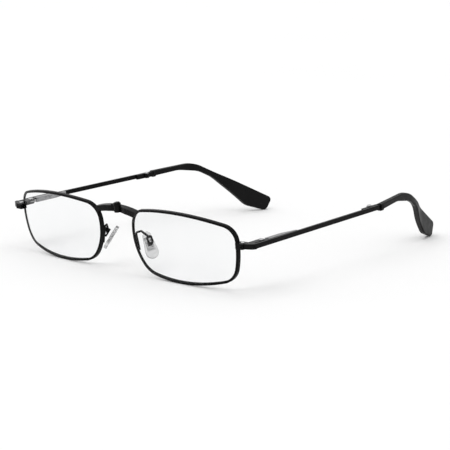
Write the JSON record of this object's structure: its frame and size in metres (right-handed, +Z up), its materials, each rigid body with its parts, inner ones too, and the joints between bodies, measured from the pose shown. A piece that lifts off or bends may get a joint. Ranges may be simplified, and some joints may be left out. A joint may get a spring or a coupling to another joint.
{
  "type": "folding reading glasses",
  "caption": "Folding reading glasses: a thin metal frame with clear lenses, hinged at the bridge, at the ends of the frame and halfway along each temple.",
  "frame": {"origin": "centre of the measured box, at the table the glasses stand on", "axes": "+X to the wearer's left, +Y towards the back of the head, +Z up; the glasses stand unfolded on their rims and temple tips, so the lenses lean back from the wearer's upright by the tilt of that stance"},
  "size_m": [0.1322, 0.133, 0.0267],
  "materials": {
    "frame_black": "satin black coated steel wire and bar",
    "lens_clear": "clear, lightly coated",
    "tip_black": "fine matte black",
    "hinge_steel": "satin grey steel",
    "screw_steel": "bright slotted screws",
    "spring_steel": "drawn wire",
    "pad_clear": "clear soft silicone",
    "pad_core": "translucent stiff plastic"
  },
  "bodies": {
    "front_left": {"rim_left": "frame_black", "lens_left": "lens_clear", "end_piece_left": "frame_black", "lock_block_left": "frame_black", "lock_screw_left": "screw_steel", "end_hinge_leaf_left": "frame_black", "end_hinge_screw_left": "screw_steel", "bridge_left": "frame_black", "pad_arm_left": "frame_black", "pad_box_left": "frame_black", "pad_screw_left": "screw_steel"},
    "end_knuckle_left": {"hinge_slider_left": "hinge_steel", "hinge_spring_left": "spring_steel"},
    "temple_left": {"temple_bar_left": "frame_black", "spring_housing_left": "hinge_steel", "mid_hinge_front_leaf_left": "frame_black", "mid_hinge_screw_left": "screw_steel"},
    "temple_end_left": {"temple_rear_left": "frame_black", "mid_hinge_rear_leaf_left": "frame_black", "temple_tip_left": "tip_black"},
    "nose_pad_left": {"pad_core_left": "pad_core", "nose_pad_left": "pad_clear"},
    "front_right": {"rim_right": "frame_black", "lens_right": "lens_clear", "end_piece_right": "frame_black", "lock_block_right": "frame_black", "lock_screw_right": "screw_steel", "end_hinge_leaf_right": "frame_black", "end_hinge_screw_right": "screw_steel", "bridge_right": "frame_black", "pad_arm_right": "frame_black", "pad_box_right": "frame_black", "pad_screw_right": "screw_steel", "bridge_screw": "frame_black"},
    "end_knuckle_right": {"hinge_slider_right": "hinge_steel", "hinge_spring_right": "spring_steel"},
    "temple_right": {"temple_bar_right": "frame_black", "spring_housing_right": "hinge_steel", "mid_hinge_front_leaf_right": "frame_black", "mid_hinge_screw_right": "screw_steel"},
    "temple_end_right": {"temple_rear_right": "frame_black", "mid_hinge_rear_leaf_right": "frame_black", "temple_tip_right": "tip_black"},
    "nose_pad_right": {"pad_core_right": "pad_core", "nose_pad_right": "pad_clear"}
  },
  "joints": [
    {"name": "bridge_fold", "type": "hinge", "parent": "front_left", "child": "front_right", "pos_m": [0.0012, -0.0642, 0.02422], "axis": [0, -0.1363, 0.9907], "range_deg": [0, 160]},
    {"name": "temple_fold_left", "type": "hinge", "parent": "front_left", "child": "end_knuckle_left", "pos_m": [0.063, -0.05283, 0.01774], "axis": [0, -0.0511, 0.9987], "range_deg": [0, 83]},
    {"name": "temple_spring_slide_left", "type": "slide", "parent": "end_knuckle_left", "child": "temple_left", "axis": [-0.0384, 0.998, 0.0511], "range_m": [0, 0.0012], "stiffness_N_per_m": 500, "springref_m": -0.001, "deforming": ["hinge_spring_left"]},
    {"name": "tip_fold_left", "type": "hinge", "parent": "temple_left", "child": "temple_end_left", "pos_m": [0.06133, 0.00752, 0.02083], "axis": [0, -0.0511, 0.9987], "range_deg": [0, 163]},
    {"name": "pad_rock_left", "type": "hinge", "parent": "front_left", "child": "nose_pad_left", "pos_m": [0.01238, -0.05823, 0.01253], "axis": [-0.4938, -0.8489, -0.1884], "range_deg": [-8, 8]},
    {"name": "temple_fold_right", "type": "hinge", "parent": "front_right", "child": "end_knuckle_right", "pos_m": [-0.063, -0.05283, 0.01774], "axis": [0, 0.0511, -0.9987], "range_deg": [0, 83]},
    {"name": "temple_spring_slide_right", "type": "slide", "parent": "end_knuckle_right", "child": "temple_right", "axis": [0.0384, 0.998, 0.0511], "range_m": [0, 0.0012], "stiffness_N_per_m": 500, "springref_m": -0.001, "deforming": ["hinge_spring_right"]},
    {"name": "tip_fold_right", "type": "hinge", "parent": "temple_right", "child": "temple_end_right", "pos_m": [-0.06133, 0.00752, 0.02083], "axis": [0, 0.0511, -0.9987], "range_deg": [0, 163]},
    {"name": "pad_rock_right", "type": "hinge", "parent": "front_right", "child": "nose_pad_right", "pos_m": [-0.01238, -0.05823, 0.01253], "axis": [0.4938, -0.8489, -0.1884], "range_deg": [-8, 8]}
  ]
}
